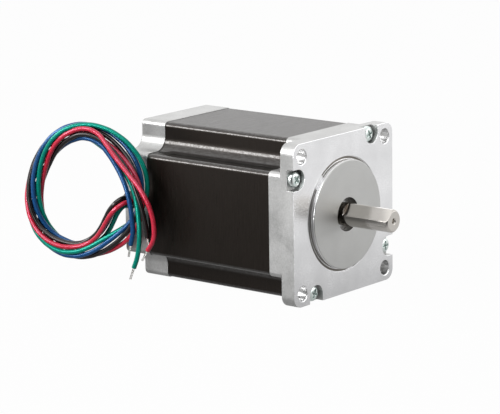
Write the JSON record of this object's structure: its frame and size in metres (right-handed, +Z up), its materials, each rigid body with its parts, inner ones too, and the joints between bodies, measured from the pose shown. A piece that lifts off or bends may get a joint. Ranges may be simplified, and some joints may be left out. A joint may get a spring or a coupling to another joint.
{
  "type": "stepper motor",
  "caption": "Square-flange hybrid stepper motor with black laminated stator, round pilot boss, D-shaped output shaft and coloured flying leads wound in a loop.",
  "frame": {"origin": "centre of the four mounting holes, on the mounting face and the shaft's axis", "axes": "-Y along the output shaft, +Y towards the motor's rear, +Z up, with the leads on the -X side"},
  "size_m": [0.073, 0.1314, 0.0571],
  "materials": {
    "bell_aluminium": "machined die casting, satin",
    "lamination": "laminated steel, satin black coat",
    "insulator": "moulded, matt",
    "magnet_wire": "enamelled copper wire, glossy",
    "board": "solder-masked board",
    "grommet_rubber": "matt",
    "zinc_screw": "bright zinc plate",
    "spring_steel": "spring steel",
    "ground_shaft": "ground steel",
    "rotor_iron": "ground laminations",
    "magnet": "sintered magnet",
    "bearing_steel": "ground",
    "ball_steel": "polished",
    "cage_brass": "pressed",
    "shield_steel": "pressed sheet",
    "tinned_copper": "tinned strands",
    "blue_insulation": "glossy PVC",
    "green_insulation": "glossy PVC",
    "red_insulation": "glossy PVC",
    "black_insulation": "glossy PVC"
  },
  "bodies": {
    "housing": {"front_end_bell": "bell_aluminium", "rear_end_bell": "bell_aluminium", "stator_core": "lamination", "front_insulator": "insulator", "rear_insulator": "insulator", "phase_a_windings": "magnet_wire", "phase_b_windings": "magnet_wire", "lead_board": "board", "lead_grommet": "grommet_rubber", "through_screws": "zinc_screw", "wave_washer": "spring_steel", "front_outer_race": "bearing_steel", "front_shields": "shield_steel", "rear_outer_race": "bearing_steel", "rear_shields": "shield_steel", "blue_exit": "blue_insulation", "blue_coil": "blue_insulation", "blue_tail": "blue_insulation", "green_exit": "green_insulation", "green_coil": "green_insulation", "green_tail": "green_insulation", "red_exit": "red_insulation", "red_coil": "red_insulation", "red_tail": "red_insulation", "black_exit": "black_insulation", "black_coil": "black_insulation", "black_tail": "black_insulation", "lead_tips": "tinned_copper"},
    "rotor": {"shaft": "ground_shaft", "rotor_cup_1": "rotor_iron", "rotor_cup_2": "rotor_iron", "rotor_cup_3": "rotor_iron", "rotor_cup_4": "rotor_iron", "rotor_magnet_front": "magnet", "rotor_magnet_rear": "magnet", "rotor_spacer": "rotor_iron", "front_inner_race": "bearing_steel", "rear_inner_race": "bearing_steel"},
    "front_ball_set": {"front_balls": "ball_steel", "front_cage": "cage_brass"},
    "rear_ball_set": {"rear_balls": "ball_steel", "rear_cage": "cage_brass"}
  },
  "joints": [
    {"name": "rotor_spin", "type": "hinge", "parent": "housing", "child": "rotor", "pos_m": [0, 0, 0], "axis": [0, -1, 0], "continuous": true},
    {"name": "front_ball_set_spin", "type": "hinge", "parent": "housing", "child": "front_ball_set", "pos_m": [0, 0.0047, 0], "axis": [0, -1, 0], "continuous": true},
    {"name": "rear_ball_set_spin", "type": "hinge", "parent": "housing", "child": "rear_ball_set", "pos_m": [0, 0.07, 0], "axis": [0, -1, 0], "continuous": true}
  ],
  "couplings": [
    {"joint": "front_ball_set_spin", "follows": "rotor_spin", "ratio": 0.3677},
    {"joint": "rear_ball_set_spin", "follows": "rotor_spin", "ratio": 0.3677}
  ]
}
